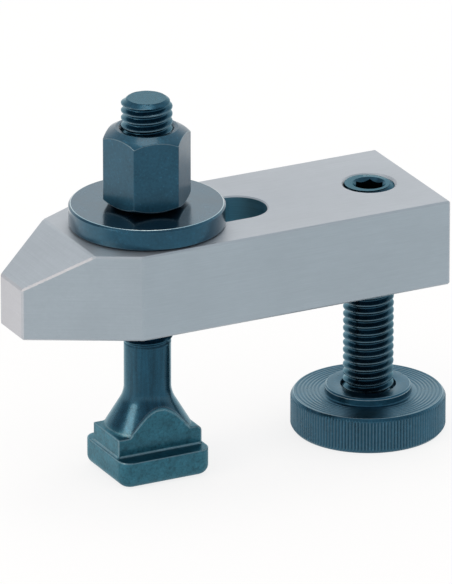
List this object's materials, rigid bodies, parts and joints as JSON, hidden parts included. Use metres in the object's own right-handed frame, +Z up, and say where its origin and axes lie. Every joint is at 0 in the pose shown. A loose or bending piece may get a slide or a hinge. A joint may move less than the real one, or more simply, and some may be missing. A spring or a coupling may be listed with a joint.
{
  "type": "strap clamp",
  "caption": "Tapered-nose steel strap clamp with a slotted bar, a T-slot bolt with washer and tall nut, and a height-adjusting support screw on a round knurled foot.",
  "frame": {"origin": "where the T-slot bolt's axis meets the table, at the centre of the underside of its head", "axes": "+X along the bar from the nose towards the heel, +Y across the bar, +Z up along the bolt"},
  "size_m": [0.1067, 0.0364, 0.0884],
  "materials": {
    "ground_steel": "satin ground",
    "black_oxide": "semi-gloss black oxide"
  },
  "bodies": {
    "bar": {"clamp_bar": "ground_steel"},
    "washer": {"washer": "black_oxide"},
    "nut": {"hex_nut": "black_oxide"},
    "bolt": {"t_slot_bolt": "black_oxide"},
    "support": {"support_screw": "black_oxide", "knurled_foot": "black_oxide"}
  },
  "joints": [
    {"name": "bolt_slide", "type": "slide", "parent": "bar", "child": "washer", "axis": [1, 0, 0], "range_m": [-0.0035, 0.022]},
    {"name": "nut_turn", "type": "hinge", "parent": "washer", "child": "nut", "pos_m": [0, 0, 0.0636], "axis": [0, 0, 1], "range_deg": [-4115, 1235]},
    {"name": "bolt_lift", "type": "slide", "parent": "washer", "child": "bolt", "axis": [0, 0, 1], "range_m": [-0.006, 0.02]},
    {"name": "support_height", "type": "slide", "parent": "bar", "child": "support", "axis": [0, 0, 1], "range_m": [-0.01, 0.028]}
  ],
  "couplings": [
    {"joint": "nut_turn", "follows": "bolt_lift", "rad_per_m": -3590.4}
  ]
}
